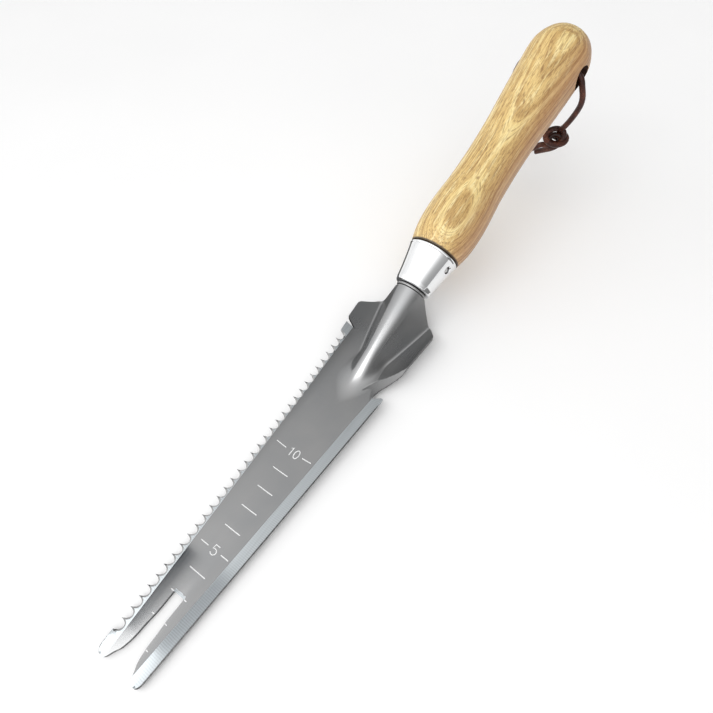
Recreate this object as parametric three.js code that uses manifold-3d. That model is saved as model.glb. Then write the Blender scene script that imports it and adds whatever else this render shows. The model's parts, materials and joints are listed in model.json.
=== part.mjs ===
// A garden trowel in millimetres: a stamped steel blade with a forked tip, a toothed edge and a
// knife edge, whose hollow neck is welded to a tang. The tang runs through a plated ferrule into
// a turned wooden handle, and a knotted leather thong hangs from a cross hole near the butt.
//
// The blade frame is used throughout: Y runs along the blade from the zero of its centimetre
// scale toward the handle, X points to the knife edge and Z to the open side of the trough.
// The finished tool stands on its lowest point with the middle of its box over the origin.
import * as THREE from 'three';
import { mergeVertices } from 'three/addons/utils/BufferGeometryUtils.js';
import Module from 'manifold-3d';

const wasm = await Module();
wasm.setup();

const GAP = 0.3; // clearance between pieces that touch
const REACH = 400; // longer than any piece, for cutting tools

// Blade sheet
const SHEET = 1.6;
const TROUGH_RADIUS = 26.6;
const TIP_HALF_WIDTH = 11.2;
const EDGE_SLOPE = 0.0489; // half width gained per millimetre of length
const FLARE = 125; // from here the edges run to the shoulders a little faster
const EDGE_LEFT = 0.35; // thickness left on a ground edge
const MARGIN = 1.5; // sheet left outside the outline before it is blanked
const FLAT_HALF_WIDTH = 1.5; // narrow flat down the middle of the trough
const SHOULDER = { x: 21.2, y: 178.2, round: 1.5 }; // on the toothed side
const SHEET_START = -4;
const SHEET_END = 196;

// Fork slot
const SLOT = { top: 30, halfWidth: 2.7, corner: 0.8 };
const TINE = { middle: 9, end: -0.8, inner: 6.4 };

// Toothed edge on the -X side
const TOOTH = { first: 7.7, pitch: 4.5, count: 34, depth: 2.5, steps: 5 };
const TOOTH_GRIND = { start: 7, slope: 0.0575, top: 166.9 }; // its inner line, from the centre
const SLIT = { edge: 167.4, inner: 166.4, depth: 4.6, halfMouth: 0.9 };

// Knife edge and cord cutter on the +X side
const KNIFE_GRIND = 5.2;
const NOTCH = { tip: 141.2, floor: 12.6, width: 2.4, grindEnd: 140.2 };
const CUTTER = { foot: [12.7, 143.2], head: [18.5, 156.2], end: [18.8, 164.5] };
const KNIFE_SHOULDER = { x: 20, y: 180.8, round: 1 };
const WHEEL = { radius: 50, inward: 5.5, outward: 12, sides: 96, along: 152, grind: 4, clear: 142 };

// Hollow neck
const NECK = { start: 139, end: 188, startRadius: 2, endRadius: 7, blend: 2.2 };
const FLANK = { start: 24, end: 64, over: 22 }; // flank angle in degrees and where it settles

// Handle axis: it rises toward the butt and is set a little toward the knife side
const TILT = THREE.MathUtils.degToRad(21.25);
const YAW = THREE.MathUtils.degToRad(-0.6);
const JUNCTION = new THREE.Vector3(0, 211.5, 25.95); // where the wood meets the ferrule
const NECK_CUT = -21.8; // along the axis from the junction

// Tang, ferrule and nail
const TANG = { radius: 3.5, start: -38, end: 70, point: 9 };
const COLLAR = { radius: 7.6, start: -21.4, end: -20.4 }; // on the tang, between neck and ferrule
const FERRULE = { length: 19.9, wall: 0.9, floor: 1.4, lip: 12.7, nose: 9.1, hole: 4.1 };
const NAIL = { along: -5.2, turn: 15, shank: 1, head: 1.4, hole: 1.75, length: 6.8, sunk: 0.5 };

// Handle
const HANDLE = {
  length: 133.2,
  shoulder: 0.5,
  profile: [[0.5, 12.7], [6, 14.1], [12, 14.9], [20, 15.1], [28, 14.7], [38, 13.8], [50, 13.4],
    [62, 13.4], [74, 13.8], [86, 14.6], [98, 15.3], [108, 15.8], [116, 16.2], [122, 15.7],
    [128, 13.1], [131, 10], [132.4, 6.6]],
};
const CORD_HOLE = { along: 112.9, radius: 4, mouth: 6.2, taper: 3.2, surface: 16.1 };

// Leather thong, as places measured from the middle of the cross hole
const THONG_RADIUS = 1.5;
const THONG_SIDES = 8;
const RIGHT_RUN = [[0.15, 0.5, 1.2], [4, 0.6, 1.5], [8, 0.6, 1.8], [11, 0.5, 1.9], [13.2, 0.4, 1.5],
  [15.2, 0.3, 0.3], [16.6, 0.2, -1.8], [17.5, 0.4, -4.5], [18.5, 0.8, -7.5], [19.1, 1.2, -10.5],
  [19, 1.8, -14], [18, 2.4, -18.4], [15.9, 3.2, -24.4], [13.4, 3.9, -30]];
const LEFT_RUN = [[-0.15, 0.5, 1.2], [-4, 0.6, 1.5], [-8, 0.6, 1.8], [-11, 0.5, 1.9],
  [-13.2, 0.4, 1.5], [-15.2, 0.3, 0.3], [-16.6, 0.2, -1.8], [-17.6, 0.4, -4.6], [-18.6, 0.8, -8],
  [-18.4, 1.6, -12.5], [-16.8, 2.6, -17.5], [-14, 3.4, -22], [-10.2, 4.2, -26],
  [-5.8, 4.7, -29.4], [-1, 5, -32.4], [3, 5, -34.6]];
const KNOT = { centre: [10.6, 5, -37.8], half: [7, 6.5, 6.4] };
const RIGHT_TAIL = [[8.2, 5.6, -45.4], [5, 6.2, -48.6], [1, 6.6, -51.4]];
const LEFT_TAIL = [[4.4, 3, -43], [1, 2.8, -46.4], [-2.6, 2.8, -49.4]];

const MATERIALS = {
  steel: [0x8f9294, 0.28, 1],
  rod: [0x7a7c7e, 0.45, 1],
  chrome: [0xd5d8da, 0.08, 1],
  nail: [0x5c5a58, 0.4, 1],
  wood: [0xc8a063, 0.5, 0],
  leather: [0x3c1e19, 0.75, 0],
};

function piece(name, geometry, finish) {
  const [color, roughness, metalness] = MATERIALS[finish];
  const material = new THREE.MeshStandardMaterial({ color, roughness, metalness });
  const mesh = new THREE.Mesh(geometry, material);
  mesh.name = name;
  return mesh;
}

// --- Solids ------------------------------------------------------------------------------

function solid(geometry) {
  const bare = geometry.index ? geometry.clone() : geometry;
  bare.deleteAttribute('normal');
  bare.deleteAttribute('uv');
  const merged = mergeVertices(bare, 1e-4);
  const mesh = new wasm.Mesh({
    numProp: 3,
    vertProperties: new Float32Array(merged.attributes.position.array),
    triVerts: new Uint32Array(merged.index.array),
  });
  return new wasm.Manifold(mesh);
}

function geometryOf(manifold) {
  const mesh = manifold.getMesh();
  const geometry = new THREE.BufferGeometry();
  geometry.setAttribute('position', new THREE.BufferAttribute(mesh.vertProperties, 3));
  geometry.setIndex(new THREE.BufferAttribute(mesh.triVerts, 1));
  geometry.computeVertexNormals();
  return geometry;
}

// A point and a direction frame on the handle axis, a given way along it from the junction
function axisPlace(along) {
  const matrix = new THREE.Matrix4().makeRotationZ(YAW);
  matrix.multiply(new THREE.Matrix4().makeRotationX(TILT));
  const step = new THREE.Vector3(0, along, 0).applyMatrix4(matrix);
  return matrix.setPosition(JUNCTION.clone().add(step));
}

// A solid of revolution about the handle axis, from [along, radius] points
function turned(profile, sides) {
  const points = profile.map(([along, radius]) => new THREE.Vector2(radius, along));
  return new THREE.LatheGeometry(points, sides).applyMatrix4(axisPlace(0));
}

// --- Blade -------------------------------------------------------------------------------

const trough = (x) => TROUGH_RADIUS - Math.sqrt(TROUGH_RADIUS ** 2 - x * x);

// Ridge of the half-conical neck: a round crown with straight flanks
function ridge(x, y) {
  const run = (y - NECK.start) / (NECK.end - NECK.start);
  const radius = NECK.startRadius + (NECK.endRadius - NECK.startRadius) * run;
  const settle = THREE.MathUtils.smoothstep(y, NECK.start, NECK.start + FLANK.over);
  const flank = THREE.MathUtils.degToRad(THREE.MathUtils.lerp(FLANK.start, FLANK.end, settle));
  const stretch = 1 / Math.cos(TILT);
  const centre = JUNCTION.z + (y - JUNCTION.y) * Math.tan(TILT);
  const side = Math.abs(x);
  const touch = radius * Math.sin(flank);
  if (side < touch) return centre + stretch * Math.sqrt(radius * radius - side * side);
  const fall = (side - touch) * Math.tan(flank);
  return centre + stretch * (radius * Math.cos(flank) - fall);
}

// Height of the sheet's upper side, the ridge melting into the trough
function upper(x, y) {
  const low = trough(x);
  if (y < NECK.start - MARGIN) return low;
  const high = ridge(x, y);
  const near = Math.max(NECK.blend - Math.abs(high - low), 0) / NECK.blend;
  return Math.max(high, low) + near * near * NECK.blend * 0.25;
}

// Half width of the outline: the blade widens evenly, then faster toward the shoulders
function edgeLine(y) {
  const even = TIP_HALF_WIDTH + EDGE_SLOPE * Math.min(y, FLARE);
  if (y <= FLARE) return even;
  return THREE.MathUtils.mapLinear(y, FLARE, SHOULDER.y, even, SHOULDER.x);
}

// Width and depth of the ground strip along one side
function grind(side, y) {
  const end = side > 0 ? NOTCH.grindEnd : TOOTH_GRIND.top - 0.3;
  const toothed = edgeLine(y) - TOOTH_GRIND.start - TOOTH_GRIND.slope * y;
  return { width: side > 0 ? KNIFE_GRIND : toothed, depth: y > end + 0.1 ? 0 : 1 };
}

// Across the sheet at one station: [x, part of the thickness that is left]
function across(side, y) {
  const inner = 11;
  const wide = edgeLine(y);
  const { width, depth } = grind(side, y);
  const row = [];
  for (let k = 0; k <= inner; k++) {
    row.push([side * THREE.MathUtils.lerp(FLAT_HALF_WIDTH, wide - width, k / inner), 1]);
  }
  const left = 1 - depth * (1 - EDGE_LEFT / SHEET);
  row.push([side * (wide - width / 2), (1 + left) / 2]);
  row.push([side * wide, left], [side * (wide + MARGIN), left]);
  return side > 0 ? row : row.reverse();
}

function stations() {
  const places = [SHEET_START];
  for (let y = 20; y < NECK.start - 10; y += 20) places.push(y);
  places.push(NECK.start - 4, NOTCH.grindEnd, NOTCH.grindEnd + 0.6);
  for (let y = NECK.start + 5; y < TOOTH_GRIND.top - 2; y += 3) places.push(y);
  places.push(TOOTH_GRIND.top - 0.4, TOOTH_GRIND.top + 0.4);
  for (let y = TOOTH_GRIND.top + 3; y < SHEET_END; y += 3) places.push(y);
  places.push(SHEET_END);
  return places;
}

// The pressed sheet as a closed shell: upper side, lower side and a wall around
function pressedSheet() {
  const rows = stations().map((y) => [...across(-1, y), ...across(1, y)].map(([x, left]) => {
    const step = 0.01;
    const slopeX = (upper(x + step, y) - upper(x - step, y)) / (2 * step);
    const slopeY = (upper(x, y + step) - upper(x, y - step)) / (2 * step);
    const normal = new THREE.Vector3(-slopeX, -slopeY, 1).normalize();
    const top = new THREE.Vector3(x, y, upper(x, y));
    const under = top.clone().addScaledVector(normal, -SHEET);
    return { top: under.clone().lerp(top, left), under };
  }));
  const columns = rows[0].length;
  const count = rows.length * columns;
  const points = [...rows.flat().map((p) => p.top), ...rows.flat().map((p) => p.under)];
  const faces = [];
  const quad = (a, b, c, d) => faces.push(a, b, c, a, c, d);
  for (let i = 0; i < rows.length - 1; i++) {
    for (let j = 0; j < columns - 1; j++) {
      const a = i * columns + j;
      quad(a, a + 1, a + 1 + columns, a + columns);
      quad(count + a, count + a + columns, count + a + 1 + columns, count + a + 1);
    }
  }
  const around = [];
  for (let j = 0; j < columns; j++) around.push(j);
  for (let i = 1; i < rows.length; i++) around.push(i * columns + columns - 1);
  for (let j = columns - 2; j >= 0; j--) around.push((rows.length - 1) * columns + j);
  for (let i = rows.length - 2; i > 0; i--) around.push(i * columns);
  around.forEach((a, k) => {
    const b = around[(k + 1) % around.length];
    quad(b, a, count + a, count + b);
  });
  const geometry = new THREE.BufferGeometry().setFromPoints(points);
  geometry.setIndex(faces);
  return geometry;
}

// One tooth gap, from the tip at y to the next tip, the tips leaning toward the fork
function toothGap(shape, y) {
  const reach = TOOTH.depth * 4 / 3;
  const next = y + TOOTH.pitch;
  const curve = new THREE.CubicBezierCurve(
    new THREE.Vector2(-edgeLine(next), next),
    new THREE.Vector2(-edgeLine(next) + reach, next - 0.2),
    new THREE.Vector2(-edgeLine(y) + reach, y + 1.4),
    new THREE.Vector2(-edgeLine(y), y),
  );
  curve.getPoints(TOOTH.steps).slice(1).forEach((p) => shape.lineTo(p.x, p.y));
}

// Outline of the blank seen from above, anticlockwise from the knife side's tip
function blankOutline() {
  const shape = new THREE.Shape();
  const { x, y, round } = SHOULDER;
  shape.moveTo(TINE.middle, TINE.end);
  shape.quadraticCurveTo(edgeLine(0) - 0.3, TINE.end, edgeLine(2), 2);
  cordCutter(shape);
  const knife = KNIFE_SHOULDER;
  shape.lineTo(knife.x - 0.1, knife.y - knife.round);
  shape.quadraticCurveTo(knife.x, knife.y, knife.x - 0.7, knife.y + knife.round);
  shape.lineTo(x - 4.6, y + 7);
  shape.bezierCurveTo(x - 6, y + 9.2, x - 9.6, y + 9.6, x - 13.6, y + 13.4);
  shape.lineTo(-x + 13.6, y + 13.4);
  shape.bezierCurveTo(-x + 9.8, y + 12.2, -x + 7.3, y + 12, -x + 4.6, y + 7);
  shape.lineTo(-x + 0.9, y + round);
  shape.quadraticCurveTo(-x, y, -x + 0.1, y - round);
  shape.lineTo(-edgeLine(SLIT.edge + SLIT.halfMouth), SLIT.edge + SLIT.halfMouth);
  shape.lineTo(-edgeLine(SLIT.inner) + SLIT.depth, SLIT.inner + 0.15);
  shape.lineTo(-edgeLine(SLIT.inner) + SLIT.depth, SLIT.inner - 0.15);
  shape.lineTo(-edgeLine(SLIT.edge), SLIT.edge - SLIT.halfMouth);
  const lastTip = TOOTH.first + TOOTH.count * TOOTH.pitch;
  shape.lineTo(-edgeLine(lastTip), lastTip);
  for (let k = TOOTH.count - 1; k >= 0; k--) toothGap(shape, TOOTH.first + k * TOOTH.pitch);
  shape.lineTo(-edgeLine(2), 2);
  shape.quadraticCurveTo(-edgeLine(0) + 0.3, TINE.end, -TINE.middle, TINE.end);
  forkSlot(shape);
  return shape;
}

// The hook, the round floor of the notch and the bowed cutting edge behind it
function cordCutter(shape) {
  const { tip, floor, width } = NOTCH;
  const wide = edgeLine(tip);
  const [footX, footY] = CUTTER.foot;
  shape.lineTo(edgeLine(tip - 2), tip - 2);
  shape.quadraticCurveTo(wide, tip + 0.2, wide - 0.9, tip + 0.3);
  shape.quadraticCurveTo(wide - 2.2, tip + 0.4, floor + 2, tip - 0.9);
  shape.bezierCurveTo(floor + 0.6, tip - 1.9, floor - 0.8, footY - width, footX, footY);
  shape.bezierCurveTo(footX + 0.8, footY + 3.4, 16.8, 151.4, ...CUTTER.head);
  shape.lineTo(...CUTTER.end);
}

// The slot between the tines: narrow at the top, flaring to the two rounded tips
function forkSlot(shape) {
  const { top, halfWidth: half, corner } = SLOT;
  const flare = [[TINE.middle, TINE.end], [7.2, -0.5], [TINE.inner, 0.8], [5.5, 3], [4.3, 5.4],
    [3.4, 10], [3.1, 16], [half, 21]];
  const side = (sign) => flare.map(([x, y]) => new THREE.Vector2(sign * x, y));
  shape.splineThru(side(-1).slice(1));
  shape.lineTo(-half, top - corner);
  shape.quadraticCurveTo(-half, top, -half + corner, top);
  shape.lineTo(half - corner, top);
  shape.quadraticCurveTo(half, top, half, top - corner);
  shape.lineTo(half, flare.at(-1)[1]);
  shape.splineThru(side(1).reverse().slice(1));
}

// A grinding wheel laid on the cord cutter: it leaves a hollow bevel and stays off the hook
function cutterWheel() {
  const { radius, inward, outward: beyond, sides, along, grind: width, clear } = WHEEL;
  const foot = new THREE.Vector2(...CUTTER.foot);
  const head = new THREE.Vector2(...CUTTER.head);
  const edge = head.clone().sub(foot);
  const onEdge = foot.clone().addScaledVector(edge, (along - foot.y) / edge.y);
  const outward = new THREE.Vector2(edge.y, -edge.x).normalize();
  const inside = onEdge.clone().addScaledVector(outward, -width);
  const low = new THREE.Vector3(onEdge.x, onEdge.y, trough(onEdge.x) - SHEET + EDGE_LEFT);
  const high = new THREE.Vector3(inside.x, inside.y, trough(inside.x));
  const axis = low.clone().sub(high).normalize();
  const forward = new THREE.Vector3(edge.x, edge.y, trough(head.x) - trough(foot.x)).normalize();
  forward.addScaledVector(axis, -forward.dot(axis)).normalize();
  const lift = new THREE.Vector3().crossVectors(axis, forward).normalize();
  if (lift.z < 0) lift.negate();
  const centre = low.clone().addScaledVector(lift, radius);
  centre.addScaledVector(axis, (beyond - inward) / 2);
  const geometry = new THREE.CylinderGeometry(radius, radius, beyond + inward, sides);
  const turn = new THREE.Matrix4().makeBasis(new THREE.Vector3().crossVectors(axis, lift), axis, lift);
  const room = new THREE.BoxGeometry(REACH, REACH, REACH).translate(0, clear + REACH / 2, 0);
  return solid(geometry.applyMatrix4(turn.setPosition(centre))).intersect(solid(room));
}

function blade() {
  const blank = new THREE.ExtrudeGeometry(blankOutline(), {
    depth: REACH, bevelEnabled: false, curveSegments: 6,
  });
  blank.translate(0, 0, -REACH / 2);
  const behind = new THREE.BoxGeometry(REACH, REACH, REACH);
  behind.applyMatrix4(axisPlace(NECK_CUT + REACH / 2));
  const shaped = solid(pressedSheet())
    .intersect(solid(blank))
    .subtract(cutterWheel())
    .subtract(solid(behind));
  return piece('blade', geometryOf(shaped), 'steel');
}

// --- Tang, ferrule and nail --------------------------------------------------------------

function tang() {
  const { radius, start, end, point } = TANG;
  const profile = [[start, 0], [start, radius - 0.5], [start + 0.5, radius],
    [COLLAR.start, radius], [COLLAR.start, COLLAR.radius],
    [COLLAR.end, COLLAR.radius], [COLLAR.end, radius],
    [end - point, radius], [end - 1, 1], [end, 0]];
  return piece('tang', turned(profile, 20), 'rod');
}

// A peg square to the handle axis, turned from the knife side toward the top
function peg(radius, from, to, along, turn) {
  const geometry = new THREE.CylinderGeometry(radius, radius, to - from, 20);
  geometry.rotateZ(-Math.PI / 2).translate((from + to) / 2, 0, 0);
  geometry.rotateY(-THREE.MathUtils.degToRad(turn));
  return geometry.applyMatrix4(axisPlace(along));
}

function ferruleRadius(along) {
  const share = -along / FERRULE.length;
  return THREE.MathUtils.lerp(FERRULE.lip, FERRULE.nose, share) - 0.25 * Math.sin(Math.PI * share);
}

function ferrule() {
  const { length, wall, floor, hole } = FERRULE;
  const nose = ferruleRadius(-length);
  const outer = [[-length, nose - 0.8], [-length + 0.25, nose - 0.2], [-length + 0.8, nose]];
  for (let along = -length + 4; along < -1; along += 4) outer.push([along, ferruleRadius(along)]);
  outer.push([-0.5, ferruleRadius(0)], [0, ferruleRadius(0) - 0.3]);
  const inner = [[0, ferruleRadius(0) - wall]];
  for (let along = -4; along > -length + floor; along -= 4) {
    inner.push([along, ferruleRadius(along) - wall]);
  }
  inner.push([-length + floor, ferruleRadius(-length + floor) - wall]);
  const profile = [[-length, hole], ...outer, ...inner, [-length + floor, hole], [-length, hole]];
  const opening = peg(NAIL.hole, 5, 20, NAIL.along, NAIL.turn);
  const shaped = solid(turned(profile, 30)).subtract(solid(opening));
  return piece('ferrule', geometryOf(shaped), 'chrome');
}

function ferruleNail() {
  const { along, turn, shank, head, length, sunk } = NAIL;
  const surface = ferruleRadius(along) - sunk;
  const body = solid(peg(shank, surface - length, surface - 0.5, along, turn));
  const cap = solid(peg(head, surface - 0.8, surface, along, turn));
  return piece('ferrule_nail', geometryOf(body.add(cap)), 'nail');
}

// --- Handle ------------------------------------------------------------------------------

function handleOutline() {
  const curve = new THREE.SplineCurve(HANDLE.profile.map(([a, r]) => new THREE.Vector2(a, r)));
  const grip = curve.getPoints(HANDLE.profile.length + 3).map((p) => [p.x, p.y]);
  const spigot = [];
  for (const along of [-FERRULE.length + FERRULE.floor + GAP, -12, -6, 0]) {
    spigot.push([along, ferruleRadius(along) - FERRULE.wall - GAP]);
  }
  return [[spigot[0][0], 0], ...spigot, [HANDLE.shoulder, spigot.at(-1)[1]], ...grip,
    [HANDLE.length - 0.2, 3.2], [HANDLE.length, 0]];
}

function handle() {
  const tangBore = turned([[-REACH, 0], [-REACH, TANG.radius + GAP], [TANG.end - 4, TANG.radius + GAP],
    [TANG.end + 2, 0]], 20);
  const nailHole = peg(NAIL.shank + GAP, 3, 20, NAIL.along, NAIL.turn);
  const headRoom = peg(NAIL.head + GAP, ferruleRadius(NAIL.along) - 2, 20, NAIL.along, NAIL.turn);
  const crossHole = peg(CORD_HOLE.radius, -REACH / 2, REACH / 2, CORD_HOLE.along, 0);
  let shaped = solid(turned(handleOutline(), 30));
  for (const cut of [tangBore, nailHole, headRoom, crossHole, holeMouth(1), holeMouth(-1)]) {
    shaped = shaped.subtract(solid(cut));
  }
  return piece('handle', geometryOf(shaped), 'wood');
}

// The flared mouth of the cross hole on one side
function holeMouth(side) {
  const { along, radius, mouth, taper, surface } = CORD_HOLE;
  const beyond = 2;
  const wide = mouth + beyond * (mouth - radius) / taper;
  const cone = new THREE.CylinderGeometry(wide, radius, taper + beyond, 20);
  cone.rotateZ(-Math.PI / 2).translate(surface + (beyond - taper) / 2, 0, 0);
  if (side < 0) cone.rotateY(Math.PI);
  return cone.applyMatrix4(axisPlace(along));
}

// --- Leather thong -----------------------------------------------------------------------

const holeCentre = new THREE.Vector3().setFromMatrixPosition(axisPlace(CORD_HOLE.along));

function thongRun(name, route) {
  const points = route.map((p) => new THREE.Vector3(...p).add(holeCentre));
  const curve = new THREE.CatmullRomCurve3(points, false, 'centripetal');
  const section = new THREE.Shape();
  for (let k = 0; k < THONG_SIDES; k++) {
    const angle = (k / THONG_SIDES) * 2 * Math.PI;
    const place = [THONG_RADIUS * Math.cos(angle), THONG_RADIUS * Math.sin(angle)];
    if (k === 0) section.moveTo(...place);
    else section.lineTo(...place);
  }
  const steps = Math.max(2, 2 * (route.length - 1));
  const geometry = new THREE.ExtrudeGeometry(section, { steps, extrudePath: curve });
  return piece(name, geometry, 'leather');
}

function thongKnot() {
  const { centre, half } = KNOT;
  const geometry = new THREE.SphereGeometry(1, 16, 10);
  geometry.scale(...half).translate(...centre);
  geometry.translate(holeCentre.x, holeCentre.y, holeCentre.z);
  return piece('thong_knot', geometry, 'leather');
}

function lanyard() {
  const group = new THREE.Group();
  group.add(thongRun('thong_right', RIGHT_RUN), thongRun('thong_left', LEFT_RUN));
  group.add(thongKnot());
  group.add(thongRun('thong_tail_right', RIGHT_TAIL), thongRun('thong_tail_left', LEFT_TAIL));
  return group;
}

// --- Assembly ----------------------------------------------------------------------------

const trowel = new THREE.Group();
trowel.add(blade(), tang(), ferrule(), ferruleNail(), handle());
const box = new THREE.Box3().setFromObject(trowel);
const middle = box.getCenter(new THREE.Vector3());
trowel.add(lanyard());
trowel.position.set(-middle.x, -middle.y, -box.min.z);

export default trowel;
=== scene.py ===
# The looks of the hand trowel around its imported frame: a ground stainless blade with an etched
# scale, a plated ferrule on a steel tang, a clear-coated ash grip and a knotted leather lace.
#
# Shapes are worked out in millimetres in the blade frame of the CAD model: Y runs from the zero of
# the scale toward the handle, X points to the knife edge and Z to the open side of the trough.
# `place` turns such a point into metres in the row frame.
import json
from math import cos, pi, radians, sin, sqrt, tan

import bmesh
import bpy
import numpy as np
from mathutils import Matrix, Vector
from mathutils.geometry import delaunay_2d_cdt
from mathutils.kdtree import KDTree


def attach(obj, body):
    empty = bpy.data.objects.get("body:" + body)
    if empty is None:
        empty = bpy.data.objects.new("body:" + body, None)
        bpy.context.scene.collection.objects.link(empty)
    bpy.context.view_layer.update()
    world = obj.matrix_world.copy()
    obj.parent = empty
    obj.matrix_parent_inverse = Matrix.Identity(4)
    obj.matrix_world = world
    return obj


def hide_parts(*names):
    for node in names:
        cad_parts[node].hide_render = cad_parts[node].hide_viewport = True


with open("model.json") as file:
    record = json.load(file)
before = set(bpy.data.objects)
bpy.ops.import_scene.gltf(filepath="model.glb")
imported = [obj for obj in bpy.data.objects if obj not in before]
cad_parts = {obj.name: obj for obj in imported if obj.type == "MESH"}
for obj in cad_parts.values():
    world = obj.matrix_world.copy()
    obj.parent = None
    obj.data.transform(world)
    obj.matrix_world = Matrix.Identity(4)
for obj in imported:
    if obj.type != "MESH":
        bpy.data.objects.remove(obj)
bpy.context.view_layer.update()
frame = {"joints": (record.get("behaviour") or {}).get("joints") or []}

MM = 0.001

# --- Driving sizes, in millimetres ---
#
# They are the CAD model's, apart from the narrow bevels, the neck's blend and nose, and the knot.

SHEET, TROUGH_RADIUS = 1.6, 26.6
TIP_HALF_WIDTH, EDGE_SLOPE, FLARE = 11.2, 0.0489, 125.0
EDGE_LEFT = 0.35  # metal left on a ground edge
SHOULDER_X, SHOULDER_Y, SHOULDER_ROUND = 21.2, 178.2, 1.5

SLOT_TOP, SLOT_HALF, SLOT_CORNER = 30.0, 2.7, 0.8
TINE_MIDDLE, TINE_END = 9.0, -0.8
TINE_FLARE = [(7.2, -0.5), (6.4, 0.8), (5.5, 3), (4.3, 5.4), (3.4, 10), (3.1, 16), (2.7, 21)]

TOOTH_FIRST, TOOTH_PITCH, TOOTH_COUNT, TOOTH_DEPTH = 7.7, 4.5, 34, 2.5
GULLET_LEAN = (0.2, 1.4)  # how far a hollow's two handles lean toward the tip and back
TOOTH_GRIND_START, TOOTH_GRIND_SLOPE = 7.0, 0.0575
SLIT_EDGE, SLIT_INNER, SLIT_DEPTH, SLIT_HALF_MOUTH, SLIT_HALF_END = 167.4, 166.4, 4.6, 0.9, 0.15

KNIFE_GRIND = 5.2
NOTCH_TIP, NOTCH_FLOOR, NOTCH_WIDTH = 141.2, 12.6, 2.4
CUTTER_FOOT, CUTTER_HEAD, CUTTER_END = (12.7, 143.2), (18.5, 156.2), (18.8, 164.5)
KNIFE_SHOULDER, KNIFE_ROUND = (20.0, 180.8), 1.0
WHEEL_RADIUS, WHEEL_ALONG, WHEEL_GRIND, WHEEL_CLEAR = 50.0, 152.0, 4.0, 142.0
WHEEL_SPILL = 2.2  # how far past its bevel's width the wheel may cut
CUTTER_LEFT, CUTTER_LOW, CUTTER_HIGH = 6, 136, 168  # the cut stays within these lines

# Narrow bevels on the edges: their widths, the metal left on them, the points that they taper over,
# the least width, and the share of it that takes the bevel's finish
GULLET_BEVEL, SLOT_BEVEL, TIP_BEVEL, KNIFE_BEVEL = 0.95, 1.2, 0.32, 0.5
HONED_LEFT, SLOT_LEFT, HONED_RAMP, HONED_LEAST, HONED_SEEN = 0.12, 1.2, 5, 0.06, 0.97

NECK_START, NECK_END, NECK_START_RADIUS, NECK_END_RADIUS, NECK_BLEND = 139.0, 188.0, 2.0, 7.0, 3.8
FLANK_START, FLANK_END, FLANK_OVER, NOSE_ROUND = radians(24), radians(64), 22.0, 4.0
NOSE_REACH = 12.0  # the blend ends this far before the neck's start
NECK_CUT = -21.8

TILT, YAW = radians(21.25), radians(-0.6)
JUNCTION = Vector((0, 211.5, 25.95))
HANDLE_TURN = Matrix.Rotation(YAW, 3, "Z") @ Matrix.Rotation(TILT, 3, "X")
AXIS = HANDLE_TURN @ Vector((0, 1, 0))

FERRULE_LENGTH, FERRULE_WALL, FERRULE_FLOOR, FERRULE_HOLE = 19.9, 0.9, 1.4, 4.1
FERRULE_LIP, FERRULE_NOSE, FERRULE_HOLLOW, FERRULE_ROUND = 12.7, 9.1, 0.25, 1.1
# The groove and the rolled lip at the ferrule's wide end, as places along the axis and radii
FERRULE_BEAD = [(-1.45, 12.38), (-1.25, 12.3), (-1.05, 12.42), (-0.85, 12.62), (-0.55, 12.7),
                (-0.25, 12.66), (-0.06, 12.5), (0, 12.3)]
NAIL_ALONG, NAIL_TURN, NAIL_HEAD, NAIL_HOLE, NAIL_SUNK = -5.2, radians(15), 1.4, 1.75, 0.5
TANG_RADIUS, TANG_START, TANG_END, TANG_POINT = 3.5, -38.0, 70.0, 9.0
FIT = 0.3  # the gap round a piece that sits inside another
COLLAR_RADIUS, COLLAR_START, COLLAR_END = 7.6, -21.4, -20.4
COLLAR_EDGE = [(0, 0.25), (0.08, 0.07), (0.25, 0)]  # its rounded rims, in from the face and the radius

# The grip's outline, and its last points counted from its end
GRIP_LENGTH, GRIP_CROWN = 133.2, [(-0.3, 4.4), (-0.1, 2.6), (0, 0)]
GRIP = [(0.5, 12.7), (6, 14.1), (12, 14.9), (20, 15.1), (28, 14.7), (38, 13.8), (50, 13.4), (62, 13.4),
        (74, 13.8), (86, 14.6), (98, 15.3), (108, 15.8), (116, 16.2), (122, 15.7), (128, 13.1),
        (131, 10), (132.4, 6.6)]
HOLE_ALONG, HOLE_RADIUS, HOLE_MOUTH, HOLE_TAPER, HOLE_SURFACE = 112.9, 4.0, 6.2, 3.2, 16.1
HOLE_FLARE = 1.3  # the power by which its mouths open

# The lace, as places measured from the middle of the cross hole
LACE = 3.0
RIGHT_RUN = [(0.15, 0.5, 1.2), (4, 0.6, 1.5), (8, 0.6, 1.8), (11, 0.5, 1.9), (13.2, 0.4, 1.5),
             (15.2, 0.3, 0.3), (16.6, 0.2, -1.8), (17.5, 0.4, -4.5), (18.5, 0.8, -7.5),
             (19.1, 1.2, -10.5), (19, 1.8, -14), (18, 2.4, -18.4), (15.9, 3.2, -24.4), (13.4, 3.9, -30)]
LEFT_RUN = [(-0.15, 0.5, 1.2), (-4, 0.6, 1.5), (-8, 0.6, 1.8), (-11, 0.5, 1.9), (-13.2, 0.4, 1.5),
            (-15.2, 0.3, 0.3), (-16.6, 0.2, -1.8), (-17.6, 0.4, -4.6), (-18.6, 0.8, -8),
            (-18.4, 1.6, -12.5), (-16.8, 2.6, -17.5), (-14, 3.4, -22), (-10.2, 4.2, -26),
            (-5.8, 4.7, -29.4), (-1, 5, -32.4)]
KNOT = Vector((10.6, 5, -37.8))
RIGHT_TAIL = [(5, 6.2, -48.6), (1, 6.6, -51.4)]
LEFT_TAIL = [(4.4, 3, -43), (1, 2.8, -46.4), (-2.6, 2.8, -49.4)]

# --- Frame ---

HOLE = JUNCTION + AXIS * HOLE_ALONG
ZERO = Vector(frame["joints"][0]["pos_m"]) / MM - HOLE


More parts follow.
